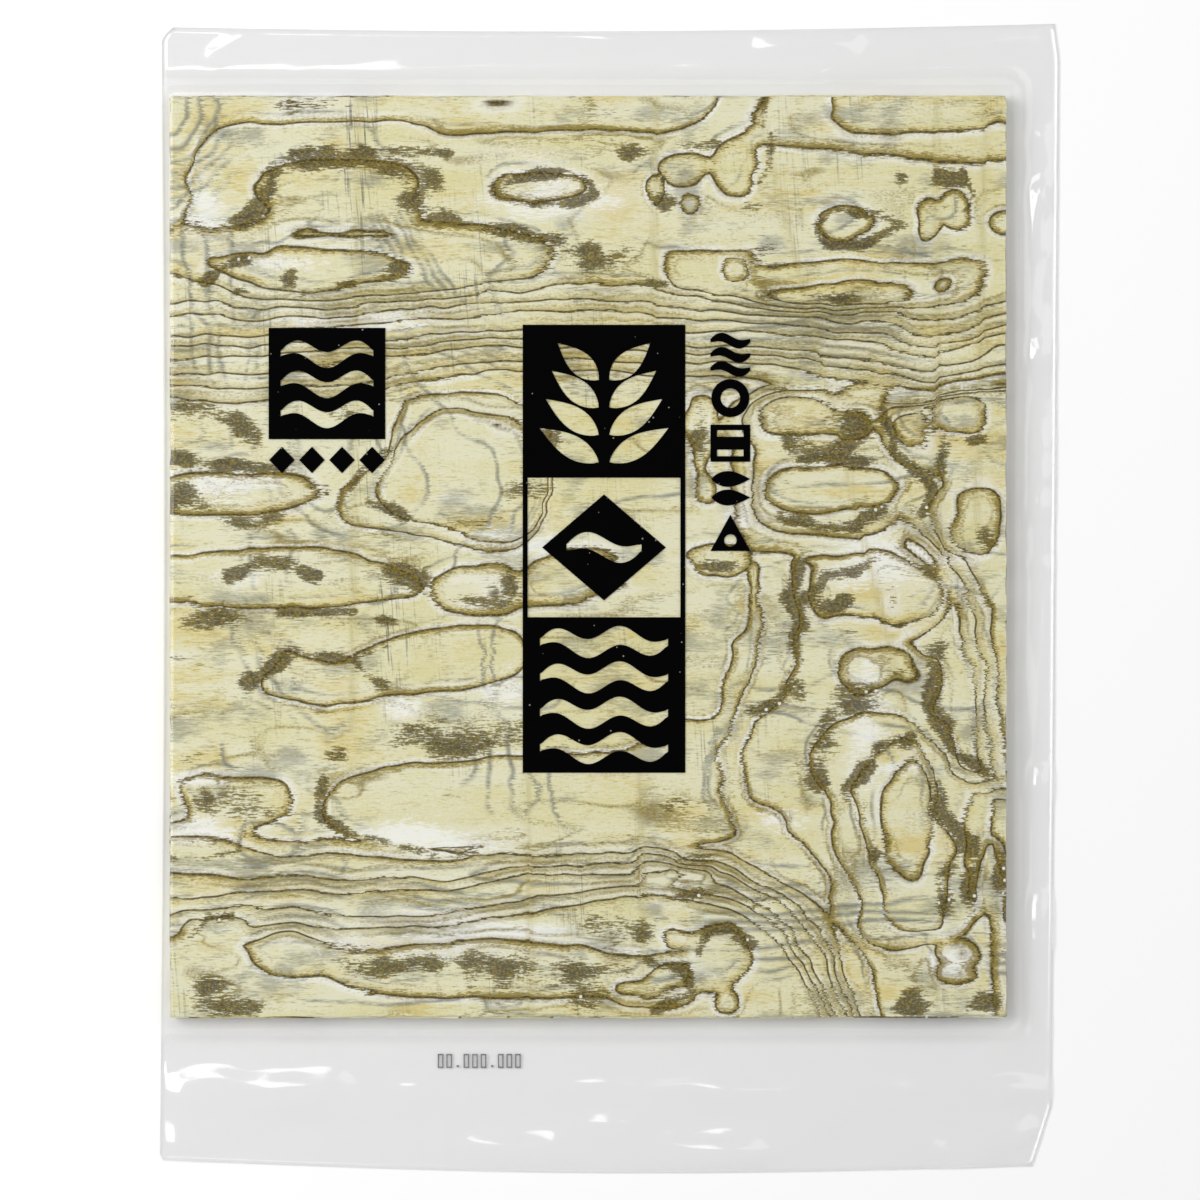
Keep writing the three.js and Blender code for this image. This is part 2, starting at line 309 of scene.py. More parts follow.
def from_leg(x, y, start, end):
    """How far a point lies from a straight leg of a path."""
    (ax, ay), (bx, by) = start, end
    part = ((x - ax) * (bx - ax) + (y - ay) * (by - ay)) / ((bx - ax) ** 2 + (by - ay) ** 2)
    part = np.clip(part, 0, 1)
    return np.hypot(x - ax - part * (bx - ax), y - ay - part * (by - ay))


def within(loop, x, y):
    """How far a point lies inside a loop with its corners cut off, and below 0 outside it."""
    for _ in range(2):
        ahead = loop[1:] + loop[:1]
        loop = [(ax + (bx - ax) * part, ay + (by - ay) * part)
                for (ax, ay), (bx, by) in zip(loop, ahead) for part in (0.25, 0.75)]
    away = np.full_like(x, 999.0)
    is_in = np.zeros(x.shape, bool)
    for (ax, ay), (bx, by) in zip(loop, loop[1:] + loop[:1]):
        away = np.minimum(away, from_leg(x, y, (ax, ay), (bx, by)))
        if ay != by:
            is_in ^= ((ay > y) != (by > y)) & (x < ax + (y - ay) / (by - ay) * (bx - ax))
    return np.where(is_in, away, -away)


def inside(patches, x, y):
    """1 in the middle of a patch, 0 at its rim and below 0 outside."""
    nearest = np.full_like(x, -9.0)
    for cx, cy, rx, ry in patches:
        nearest = np.maximum(nearest, 1 - np.hypot((x - cx) / rx, (y - cy) / ry))
    return nearest


def along(bands, x, y):
    """1 on the path of a band, 0 at its rim and below 0 outside."""
    nearest = np.full_like(x, -9.0)
    for half, path in bands:
        for start, end in zip(path, path[1:]):
            nearest = np.maximum(nearest, 1 - from_leg(x, y, start, end) / half)
    return nearest


def seam_count(x, y):
    """A different number for each shaving."""
    count = np.zeros_like(x)
    for k, (at_top, lean, lowest, highest) in enumerate(SEAMS):
        edge = at_top + lean * (stack_top - y)
        count += (k + 1.7) * ((x > edge) & (y > lowest) & (y < highest))
    return count


def seam_mark(x, y):
    """1 on a seam, fading to 0 a little to each side."""
    mark = np.zeros_like(x)
    for at_top, lean, lowest, highest in SEAMS:
        off = np.abs(x - at_top - lean * (stack_top - y))
        mark = np.maximum(mark, np.clip(1.3 - off / SEAM_HALF_WIDTH, 0, 1) * ((y > lowest) & (y < highest)))
    return mark


def crowding(grid, cells):
    """How many lines lie within a few cells of each point of a grid."""
    wide = np.pad(grid, cells, mode="edge")
    up = wide[2 * cells :, cells:-cells] - wide[: -2 * cells, cells:-cells]
    right = wide[cells:-cells, 2 * cells :] - wide[cells:-cells, : -2 * cells]
    return np.hypot(up, right)


def sheet_fields(x, y, rows, columns, crowd_cells):
    """What the kelp's material is told of each point of a sheet's grid, by name."""
    shaving = seam_count(x, y)
    slipped = y + SEAM_SLIP * np.sin(7.3 * shaving)
    field = {
        "level": skin_level(x, slipped),
        "below": skin_level(-x * 0.93 + 7, -slipped * 0.97 - 12),
        "beside": skin_level(x + 3.5 * ripple(x, y, 60, 30, 50), slipped - 2.4),
    }
    combed = np.clip(0.4 + 1.2 * ripple(x, y, 9, 6, 47), 0, 1.3)
    for label in list(field):
        grid = field[label].reshape(rows + 1, columns + 1)
        along_y, along_x = np.gradient(grid, SHEET_SIZE[1] / rows, SHEET_SIZE[0] / columns)
        field[label + "_slope"] = np.hypot(along_x, along_y).ravel()
        field[label + "_fraying"] = FRAY_LEVEL * combed + FRAY_SIDEWAYS * combed * np.abs(along_x).ravel()
    field["crowd"] = crowding(field["level"].reshape(rows + 1, columns + 1), crowd_cells).ravel()
    field["seam"] = seam_mark(x, y)
    for label, (mean, *noises) in LOOKS.items():
        field[label] = mean + ripples(x, y, *noises)
    wx = x + 0.8 * ripple(x, y, 6, 4, 28)
    wy = slipped + 0.6 * ripple(x, y, 7, 5, 29)
    skin = np.maximum(1.3 * inside(SKIN_PATCHES, wx, wy), 1.5 * along(SKIN_BANDS, wx, wy))
    field["skin"] += np.clip(skin, -1, 0.75)
    field["pith"] = np.clip(field["pith"] + inside(PITH_PATCHES, x, y), -1, 1)
    field["yellow"] += 0.5 * np.clip(1.5 * inside(YELLOW_PATCHES, wx, wy), 0, 1)
    # Each shaving has its own tone. One run of press marks is heavy, at the upper left.
    field["tone"] += 0.35 * (np.mod(shaving * 0.377, 1) - 0.5) + 0.2 * ripple(x, y, 7, 160, 42)
    field["scored"] += 0.55 * np.exp(-(((x + 57 + 0.08 * (y - 90)) / 5) ** 2)) * (y > -28)
    return field


# Noises on a sheet's cut edges and on its faces, each with its strength, length and height.
RAGGED_SIDES, RAGGED_ENDS = (0.18, 9, 3), (0.25, 4, 9)
BROAD_RELIEF, FINE_RELIEF = (0.05, 22, 14), (0.03, 5, 3)


def kelp_sheet(name, step, bottom, turn, shift, look):
    """One sheet as a closed slab on a grid of about step mm. look moves its pattern, so sheets differ."""
    columns = round(SHEET_SIZE[0] / step)
    rows = round(SHEET_SIZE[1] / step)
    build = bmesh.new()
    bmesh.ops.create_grid(build, x_segments=columns, y_segments=rows, size=0.5)
    mesh = bpy.data.meshes.new(name)
    build.to_mesh(mesh)
    build.free()
    co = np.zeros((len(mesh.vertices), 3))
    mesh.vertices.foreach_get("co", co.ravel())
    u, v = co[:, 0] * SHEET_SIZE[0], co[:, 1] * SHEET_SIZE[1]
    rim_x = (np.abs(co[:, 0]) > 0.4999) * np.sign(co[:, 0])
    rim_y = (np.abs(co[:, 1]) > 0.4999) * np.sign(co[:, 1])
    x = stack_middle[0] + shift[0] + u * math.cos(turn) - v * math.sin(turn)
    y = stack_middle[1] + shift[1] + u * math.sin(turn) + v * math.cos(turn)
    x += rim_x * ripples(x, y, (*RAGGED_SIDES, look + 60))
    y += rim_y * ripples(x, y, (*RAGGED_ENDS, look + 61))
    # The sheets under the top one have the same pattern, turned round and moved.
    px = x if look == 0 else look - 0.96 * x
    py = y if look == 0 else 5 - y
    fields = sheet_fields(px, py, rows, columns, max(1, round(CROWD_REACH / step)))
    for label, data in fields.items():
        mesh.attributes.new(label, "FLOAT", "POINT").data.foreach_set("value", data)
    relief = ripples(x, y, (*BROAD_RELIEF, look + 70), (*FINE_RELIEF, look + 71))
    co[:, 0], co[:, 1], co[:, 2] = x, y, bottom + SHEET_THICKNESS + relief
    mesh.vertices.foreach_set("co", (co * MM).ravel())
    sheet = placed(name, mesh)
    slab = sheet.modifiers.new("thickness", "SOLIDIFY")
    slab.thickness = SHEET_THICKNESS * MM
    slab.offset = -1
    return sheet


def linear(hex_colour):
    """An sRGB hex colour as the linear RGBA that shaders take."""
    parts = [int(hex_colour[i : i + 2], 16) / 255 for i in (1, 3, 5)]
    return (*(c / 12.92 if c <= 0.04045 else ((c + 0.055) / 1.055) ** 2.4 for c in parts), 1)


def add(tree, kind, *values, out=0, **settings):
    """Adds a shader node and gives one of its outputs. Each value, a number, a colour or another node's
    output, goes to the next input in use, and None leaves that input as it is."""
    node = tree.nodes.new("ShaderNode" + kind)
    for key, setting in settings.items():
        setattr(node, key, setting)
    for socket, value in zip([socket for socket in node.inputs if socket.enabled], values):
        if isinstance(value, bpy.types.NodeSocket):
            tree.links.new(value, socket)
        elif value is not None:
            socket.default_value = value
    return [socket for socket in node.outputs if socket.enabled][out]


def material(name):
    """An empty material with its output."""
    made = bpy.data.materials.new(name)
    made.use_nodes = True
    made.node_tree.nodes.clear()
    return made, made.node_tree, made.node_tree.nodes.new("ShaderNodeOutputMaterial")


# Pressed kelp shavings: a dull, dry surface, finely streaked along the blade. The brown skin is a thin
# layer: a fine line where it dips steeply, and a wide ragged patch where it runs level. Under it the flesh is
# yellow on the outer side and white on the inner side.
KELP_CREAM, KELP_PALE, KELP_YELLOW = linear("#DBD4A0"), linear("#E3E1C3"), linear("#D6C375")
KELP_SKIN, KELP_SKIN_THIN, KELP_SEAM = linear("#392F00"), linear("#85731F"), linear("#C4BA86")
KELP_BELOW, KELP_PITH = linear("#72766F"), linear("#F4F5F0")
# Fine marks, each with its length, height, detail and lean.
STREAKS = {
    "fibre": (2.6, 0.36, 3, 0),
    "fray": (1.1, 0.24, 2, 0),
    "press": (0.5, 13, 2, math.radians(4)),
    "speckle": (0.7, 0.5, 2, 0),
}
KELP_ROUGHNESS, KELP_IOR, KELP_SPECULAR = 0.7, 1.5, 0.25
BUMP_STRENGTH, BUMP_HEIGHT = 0.2, 0.2
SALT_PITCH = 2.3
# The least slope, in layers for each millimetre, so that a line isn't too wide where the layers run level.
LEAST_SLOPE = {"level": 0.045, "below": 0.05, "beside": 0.06}
YELLOW_REACH, PITH_REACH, HAZE_REACH, FRINGE_REACH = 3.2, 2.6, 2.8, 1.5  # out from a line
HALFWAY_REACH, BELOW_REACH, BESIDE_REACH = 0.55, 0.9, 0.7  # half the width of the fainter lines


def shaved_kelp():
    made, tree, output = material("pressed shaved kelp")
    place = add(tree, "TexCoord", out=3)
    field = {}
    layered = [label + suffix for label in LEAST_SLOPE for suffix in ("", "_slope", "_fraying")]
    for label in (*layered, *LOOKS, "seam", "crowd"):
        field[label] = add(tree, "Attribute", attribute_name=label, out=2)

    # The noise of each kind of streak is about 0 in the mean.
    streak = {}
    for label, (long, tall, detail, lean) in STREAKS.items():
        size = (long * MM, tall * MM, min(long, tall) * MM)
        stretched = add(tree, "Mapping", place, None, (0, 0, lean), size, vector_type="TEXTURE")
        noise = add(tree, "TexNoise", stretched, 1.0, detail)
        streak[label] = add(tree, "Math", noise, 0.5, operation="SUBTRACT")
    rag = add(tree, "Math", streak["fray"], 0.6, streak["fibre"], operation="MULTIPLY_ADD")

    # How far each field is from its nearest line, in layers and in mm, once the fibres have frayed it.
    layers, away, distance = {}, {}, {}
    for label, least in LEAST_SLOPE.items():
        frayed = add(tree, "Math", rag, field[label + "_fraying"], field[label], operation="MULTIPLY_ADD")
        fraction = add(tree, "Math", frayed, operation="FRACT")
        layers[label] = add(tree, "Math", fraction, 0.5, operation="SUBTRACT")
        away[label] = add(tree, "Math", layers[label], operation="ABSOLUTE")
        steepness = add(tree, "Math", field[label + "_slope"], least, operation="MAXIMUM")
        distance[label] = add(tree, "Math", away[label], steepness, operation="DIVIDE")

    # The flesh: pale to cream in long drifts, and yellow in places, all streaked and finely speckled.
    tone = add(tree, "Math", rag, 1.4, field["tone"], operation="MULTIPLY_ADD")
    tone = add(tree, "Math", streak["speckle"], 1.8, tone, operation="MULTIPLY_ADD", use_clamp=True)
    colour = add(tree, "Mix", tone, KELP_PALE, KELP_CREAM, data_type="RGBA")
    yellow = add(tree, "Math", rag, 1.2, field["yellow"], operation="MULTIPLY_ADD")
    yellow = add(tree, "MapRange", yellow, 0.5, 1.0, 0, 0.75)
    colour = add(tree, "Mix", yellow, colour, KELP_YELLOW, data_type="RGBA")

    # Single fibres in it are brown.
    thread = add(tree, "MapRange", rag, 0.1, 0.3, 0, 0.3)
    colour = add(tree, "Mix", thread, colour, KELP_SKIN_THIN, data_type="RGBA")

    # Yellow on the outer side of a line and white on its inner side, less so where lines are close.
    apart = add(tree, "MapRange", field["crowd"], 2.0, 1.2, 0.35, 1)
    for outward, reach, tint, most in ((1, YELLOW_REACH, KELP_YELLOW, 0.45),
                                       (-1, PITH_REACH, KELP_PITH, 0.75)):
        near = add(tree, "MapRange", distance["level"], reach, 0.5, 0, most)
        near = add(tree, "Math", near, apart, operation="MULTIPLY")
        on_side = add(tree, "MapRange", layers["level"], 0, 0.02 * outward)
        near = add(tree, "Math", near, on_side, operation="MULTIPLY")
        colour = add(tree, "Mix", near, colour, tint, data_type="RGBA")

    # Lines of the shavings underneath show through, grey and blurred, and so do grey smudges.
    for label, reach, most in (("below", BELOW_REACH, 0.75), ("beside", BESIDE_REACH, 0.7)):
        through = add(tree, "MapRange", distance[label], reach, 0.1, 0, most)
        seen = add(tree, "Math", rag, 2.4, field["seen_" + label], operation="MULTIPLY_ADD",
                   use_clamp=True)
        through = add(tree, "Math", through, seen, operation="MULTIPLY")
        colour = add(tree, "Mix", through, colour, KELP_BELOW, data_type="RGBA")
    smudge = add(tree, "Math", rag, 1.3, field["grey"], operation="MULTIPLY_ADD")
    smudge = add(tree, "MapRange", smudge, 0.0, 0.55, 0, 0.5)
    colour = add(tree, "Mix", smudge, colour, KELP_BELOW, data_type="RGBA")

    # Thin marks of the press, broken by the fibres that they cross.
    mark = add(tree, "MapRange", streak["press"], 0.04, 0.13)
    scored = add(tree, "Math", rag, 1.1, field["scored"], operation="MULTIPLY_ADD", use_clamp=True)
    mark = add(tree, "Math", mark, scored, operation="MULTIPLY")
    colour = add(tree, "Mix", mark, colour, KELP_BELOW, data_type="RGBA")

    # Frothy pith, in streaks.
    froth = add(tree, "Math", rag, 2.6, field["pith"], operation="MULTIPLY_ADD")
    froth = add(tree, "MapRange", froth, 0.1, 0.6, 0, 0.8)
    colour = add(tree, "Mix", froth, colour, KELP_PITH, data_type="RGBA")

    # Where a shaving ends, its edge shows as a pale olive line.
    ending = add(tree, "Math", streak["press"], 1.6, 0.5, operation="MULTIPLY_ADD", use_clamp=True)
    ending = add(tree, "Math", ending, field["seam"], operation="MULTIPLY")
    colour = add(tree, "Mix", ending, colour, KELP_SEAM, data_type="RGBA")

    # Faint lines half way between the main ones, broken.
    halfway = add(tree, "Math", 0.5, away["level"], operation="SUBTRACT")
    steepness = add(tree, "Math", field["level_slope"], 0.06, operation="MAXIMUM")
    halfway = add(tree, "Math", halfway, steepness, operation="DIVIDE")
    faint = add(tree, "MapRange", halfway, HALFWAY_REACH, 0.1, 0, 0.8)
    shown = add(tree, "Math", field["broad"], 1.5, -0.35, operation="MULTIPLY_ADD")
    shown = add(tree, "Math", streak["speckle"], 2.0, shown, operation="MULTIPLY_ADD", use_clamp=True)
    faint = add(tree, "Math", faint, shown, operation="MULTIPLY")
    colour = add(tree, "Mix", faint, colour, KELP_SKIN_THIN, data_type="RGBA")

    # A ragged brown haze of cut fibres on the outer side of a line, where lines lie well apart.
    haze = add(tree, "MapRange", distance["level"], HAZE_REACH, 0.3, -0.65, 0.3)
    haze = add(tree, "Math", streak["fray"], 2.4, haze, operation="MULTIPLY_ADD")
    haze = add(tree, "Math", field["broad"], 0.5, haze, operation="MULTIPLY_ADD")
    haze = add(tree, "MapRange", haze, 0.1, 0.4, 0, 0.8)
    on_side = add(tree, "MapRange", layers["level"], -0.03, 0.02)
    haze = add(tree, "Math", haze, on_side, operation="MULTIPLY")
    haze = add(tree, "Math", haze, apart, operation="MULTIPLY")
    colour = add(tree, "Mix", haze, colour, KELP_SKIN_THIN, data_type="RGBA")

    # Brown patches, full of streaks.
    patch = add(tree, "Math", rag, 2.3, field["skin"], operation="MULTIPLY_ADD")
    patch = add(tree, "Math", streak["speckle"], 1.3, patch, operation="MULTIPLY_ADD")
    patch = add(tree, "MapRange", patch, 0.0, 0.42, 0, 0.9)
    worn = add(tree, "Math", streak["speckle"], 2.2, rag, operation="MULTIPLY_ADD")
    worn = add(tree, "MapRange", worn, -0.08, 0.36)
    brown = add(tree, "Mix", worn, KELP_SKIN, KELP_SKIN_THIN, data_type="RGBA")
    colour = add(tree, "Mix", patch, colour, brown, data_type="RGBA")

    # The line itself, with a soft fringe. It is thicker where the layers dip slowly, and thin in a bundle.
    fringe = add(tree, "MapRange", distance["level"], FRINGE_REACH, 0.25, 0, 0.85)
    fringed = add(tree, "Math", streak["speckle"], 2.0, field["broad"], operation="MULTIPLY_ADD",
                  use_clamp=True)
    fringe = add(tree, "Math", fringe, fringed, operation="MULTIPLY")
    fringe = add(tree, "Math", fringe, apart, operation="MULTIPLY")
    colour = add(tree, "Mix", fringe, colour, KELP_SKIN_THIN, data_type="RGBA")
    thickness = add(tree, "Math", field["broad"], 0.055, 0.012, operation="MULTIPLY_ADD")
    least = add(tree, "MapRange", apart, 0.35, 1, 0.25, 0.36)
    least = add(tree, "Math", field["level_slope"], least, operation="MULTIPLY")
    thickness = add(tree, "Math", thickness, least, operation="MAXIMUM")
    line = add(tree, "Math", away["level"], thickness, operation="DIVIDE")
    line = add(tree, "MapRange", line, 1.15, 0.5, 0, 0.95)
    colour = add(tree, "Mix", line, colour, brown, data_type="RGBA")

    # White grains of dried salt, near the skin.
    grain = add(tree, "TexVoronoi", place, 1 / (SALT_PITCH * MM))
    grain = add(tree, "MapRange", grain, 0.2, 0.13, 0, 0.85)
    near = add(tree, "MapRange", distance["level"], 2.0, 0.5)
    near = add(tree, "Math", near, field["skin"], operation="ADD")
    near = add(tree, "Math", near, field["grey"], operation="ADD")
    near = add(tree, "MapRange", near, 1.1, 1.5)
    grain = add(tree, "Math", grain, near, operation="MULTIPLY")
    colour = add(tree, "Mix", grain, colour, KELP_PITH, data_type="RGBA")

    bump = add(tree, "Bump", BUMP_STRENGTH, BUMP_HEIGHT * MM, None, rag)
    surface = add(tree, "BsdfPrincipled", colour, 0.0, KELP_ROUGHNESS, KELP_IOR, 1.0, bump)
    surface.node.inputs["Specular IOR Level"].default_value = KELP_SPECULAR
    tree.links.new(surface, output.inputs[0])
    return made


kelp = shaved_kelp()
draw = np.random.default_rng(11)
TOP_STEP, INNER_STEP, BOTTOM_STEP = 1.0, 4.0, 1.6
sheets = []
for k in range(SHEET_COUNT):
    is_top = k == SHEET_COUNT - 1
    step = TOP_STEP if is_top else BOTTOM_STEP if k == 0 else INNER_STEP
    turn = 0 if is_top else math.radians(draw.uniform(-1, 1) * SHEET_TURN)
    shift = (0, 0) if is_top else [draw.uniform(-1, 1) * most for most in SHEET_SHIFT]
    bottom = FIRST_SHEET_LEVEL + k * SHEET_PITCH
    sheet = kelp_sheet(f"kelp_sheet_{k + 1}", step, bottom, turn, shift, SHEET_COUNT - 1 - k)
    sheet.data.materials.append(kelp)
    sheets.append(sheet)

# The inner sheets show only at their edges, and are one piece.
for sheet in sheets[1:-1]:
    slab = sheet.modifiers[0]
    with bpy.context.temp_override(object=sheet, active_object=sheet, selected_objects=[sheet]):
        bpy.ops.object.modifier_apply(modifier=slab.name)
inner = sheets[1]
with bpy.context.temp_override(object=inner, active_object=inner, selected_objects=sheets[1:-1],
                               selected_editable_objects=sheets[1:-1]):
    bpy.ops.object.join()
inner.name = "kelp_sheets_inside"
for piece in (sheets[0], inner, sheets[-1]):
    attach(piece, "root")
    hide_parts("sealed_bag")


# ---------------------------------------------------------------------------------------------------------
# The film bag. It is clear polypropylene, 0.05 mm thick, cut and sealed along its edges. The front lies on
# the stack, slopes down beside it, and meets the back in a margin with a few soft folds and a crease.

# The corners, anticlockwise from the bottom left: how far in each one's two ends lie, along X and along Y.
CORNERS = [((0, 3.2), (0.7, 3.0)), ((6.2, 1.6), (1.8, 15.2)), ((0, 8), (1.1, 0)), ((3, 0.8), (0.4, 3.2))]
BOTTOM_SAG, TOP_DIP, LEFT_DIP = 2.2, 1.3, 0.8
BACK_LEVEL = 0.03
MARGIN_LEVEL = 0.35  # of the front film over the back film in the clear margin
COVER = 0.32  # of the front film over the stack
FOLDS = [  # ridges from one point to another, with their height and half width
    ((73, -131), (97, -119), 1.5, 3.4), ((82, -107), (96, -98), 1.1, 2.4),
    ((12, -130), (42, -124), 1.2, 3.4), ((30, 119), (98, 127), 0.8, 2.4),
    ((-104, 119.6), (102, 119.2), 0.5, 0.8), ((-92, 122), (-80, 130), 0.9, 1.6),
    ((-12, 127.4), (24, 128.2), 0.5, 1.0),
    ((95, 60), (100, 112), 0.7, 1.0), ((92, -60), (98, 10), 0.5, 1.2), ((40, -112), (96, -122), 0.5, 2.0),
    ((-90, -110), (-40, -121), 0.3, 3.0), ((-60, 118), (-30, 126), 0.3, 1.8),
]
RUN_LEFT, RUN_RIGHT, RUN_ENDS = 2.4, 5.0, 5.5  # how far it runs out from the stack before it lies down
WRINKLE_HEIGHT = 2.2
FILM_STEP = 1.5


def film_rise(x, y):
    """How high the front film lies at a point."""
    out_x = np.maximum(np.maximum(stack_left - x, x - stack_right) - SLIP[0], 0)
    out_y = np.maximum(np.maximum(stack_bottom - y, y - stack_top) - SLIP[1], 0)
    run = np.where(x > stack_middle[0], RUN_RIGHT, RUN_LEFT)
    away = np.hypot(out_x / run, out_y / RUN_ENDS)
    tent = np.clip(1 - away, 0, 1)
    tent = tent * tent * (3 - 2 * tent)
    level = MARGIN_LEVEL + (stack_height + COVER - MARGIN_LEVEL) * tent
    lift = 0.22 * np.clip(ripple(x, y, 34, 26, 80), 0, 1) + 0.1 * ripple(x, y, 15, 10, 81)
    wrinkle = np.clip(ripple(x, y, 24, 7, 82) + 0.3 * ripple(x, y, 9, 4, 83), 0, 1)
    lift += WRINKLE_HEIGHT * wrinkle * np.clip(2 * away - 1.8, 0, 1)
    for (ax, ay), (bx, by), height, width in FOLDS:
        length = math.hypot(bx - ax, by - ay)
        part = ((x - ax) * (bx - ax) + (y - ay) * (by - ay)) / length**2
        off = ((x - ax) * (by - ay) - (y - ay) * (bx - ax)) / length
        ridge = np.exp(-((off / width) ** 2)) * np.sin(np.pi * np.clip(part, 0, 1)) ** 0.5
        lift += np.where(away > 0.8, height * ridge, 0)
    on_stack = np.where(away == 0, 0.35, 1)
    edge = np.minimum.reduce([x - bag_left, bag_right - x, y - bag_bottom, bag_top - y])
    return level + np.maximum(lift, -0.2) * on_stack * np.clip(edge / 4, 0, 1)


def bag_sides(u, v):
    """A point of the bag's outline box, for u and v from 0 to 1 across and up it."""
    box = [(bag_left, bag_bottom), (bag_right, bag_bottom), (bag_right, bag_top), (bag_left, bag_top)]
    ends = [(bx - np.sign(bx) * dx, by - np.sign(by) * dy)
            for (bx, by), corner in zip(box, CORNERS) for dx, dy in corner]
    left_low, low_left, low_right, right_low, right_high, high_right, high_left, left_high = ends
    low = np.interp(u, [0, 1], [low_left[1], low_right[1]]) - BOTTOM_SAG * np.sin(np.pi * u)
    high = np.interp(u, [0, 1], [high_left[1], high_right[1]]) - TOP_DIP * np.sin(np.pi * u)
    y = low + (high - low) * v
    xs, ys = np.array([low_left, left_low, left_high, high_left]).T
    left = np.interp(y, ys, xs) + LEFT_DIP * np.sin(np.pi * v)
    xs, ys = np.array([low_right, right_low, right_high, high_right]).T
    right = np.interp(y, ys, xs)
    return left + (right - left) * u, y


def film_bag(name):
    """The whole bag: a front and a back of one grid each, joined round their edge."""
    build = bmesh.new()
    slack = build.verts.layers.float.new("slack")
    columns = round((bag_right - bag_left) / FILM_STEP)
    rows = round((bag_top - bag_bottom) / FILM_STEP)
    back = bmesh.ops.create_grid(build, x_segments=columns, y_segments=rows, size=0.5)["verts"]
    bmesh.ops.reverse_faces(build, faces=build.faces[:])
    front = bmesh.ops.create_grid(build, x_segments=columns, y_segments=rows, size=0.5)["verts"]
    for ply, is_front in ((back, False), (front, True)):
        u = np.array([vertex.co.x for vertex in ply]) + 0.5
        v = np.array([vertex.co.y for vertex in ply]) + 0.5
        x, y = bag_sides(u, v)
        z = film_rise(x, y) if is_front else np.full_like(x, BACK_LEVEL)
        beside = np.maximum.reduce([stack_left - x, x - stack_right, stack_bottom - y, y - stack_top])
        for vertex, place, loose in zip(ply, np.stack([x, y, z], 1) * MM, np.clip(beside / 4, 0, 1)):
            vertex.co = place
            vertex[slack] = loose
    rims = [edge for edge in build.edges if edge.is_boundary]
    bmesh.ops.bridge_loops(build, edges=rims)
    bmesh.ops.recalc_face_normals(build, faces=build.faces[:])
    mesh = bpy.data.meshes.new(name)
    build.to_mesh(mesh)
    build.free()
    mesh.polygons.foreach_set("use_smooth", [True] * len(mesh.polygons))
    return placed(name, mesh)


# Cast polypropylene film: clear, faintly grey, and glossy where a fold turns it to the light.
FILM_CLEAR = linear("#FBFBFB")
FILM_ROUGHNESS = 0.12
FILM_GLOSS, FILM_EDGE_GLOSS = 0.025, 0.6  # share of light turned back, face on and edge on
LOOSE_GLOSS = 0.05  # and more where the film lies loose


def clear_film():
    made, tree, output = material("clear polypropylene film")
    through = add(tree, "BsdfTransparent", FILM_CLEAR)
    slack = add(tree, "Attribute", attribute_name="slack", out=2)
    gloss = add(tree, "BsdfGlossy", (1, 1, 1, 1), FILM_ROUGHNESS)
    # The gloss is the same both ways, as the bag is full of air: a Fresnel node would take it to be solid.
    slant = add(tree, "LayerWeight", 0.5, out=1)
    slant = add(tree, "Math", slant, 3.0, operation="POWER")
    level_gloss = add(tree, "Math", slack, LOOSE_GLOSS, FILM_GLOSS, operation="MULTIPLY_ADD")
    slant = add(tree, "MapRange", slant, 0, 1, level_gloss, FILM_EDGE_GLOSS)
    both = add(tree, "MixShader", slant, through, gloss)
    tree.links.new(both, output.inputs[0])
    return made


film = film_bag("film_bag")
film.data.materials.append(clear_film())
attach(film, "root")
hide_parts("sealed_bag")


# ---------------------------------------------------------------------------------------------------------
# The print. It is one black ink on the front film: a square mark, a tall panel of three cells and a column
# of five small marks, all of plain shapes.

INK_THICKNESS = 0.02
INK_LIFT = 0.06
INK_GRID = 3.0


def rectangle(cx, cy, width, height):
    x, y = width / 2, height / 2
    return [(cx - x, cy - y), (cx + x, cy - y), (cx + x, cy + y), (cx - x, cy + y)]


def lozenge(cx, cy, x, y):
    return [(cx - x, cy), (cx, cy - y), (cx + x, cy), (cx, cy + y)]


def disc(cx, cy, radius, count=40):
    angles = np.arange(count) * 2 * np.pi / count
    return list(zip(cx + radius * np.cos(angles), cy + radius * np.sin(angles)))


def wave(cx, cy, length, swing, thickness, crests, count=48):
    """A wavy bar that thins to its ends."""
    t = np.linspace(0, 1, count)
    x = cx - length / 2 + length * t
    middle = cy + swing * np.sin(2 * np.pi * crests * t)
    half = thickness / 2 * np.sin(np.pi * np.clip(t, 0.02, 0.98)) ** 0.35
    return list(zip(x, middle - half)) + list(zip(x[::-1], (middle + half)[::-1]))


def leaf(x, y, length, width, turn, count=20):
    """A pointed leaf from its foot."""
    t = np.linspace(0, 1, count)
    half = width / 2 * np.sin(np.pi * t ** 0.8)
    u = np.concatenate([t, t[::-1][1:-1]]) * length
    w = np.concatenate([half, -half[::-1][1:-1]])
    return list(zip(x + u * np.cos(turn) - w * np.sin(turn), y + u * np.sin(turn) + w * np.cos(turn)))


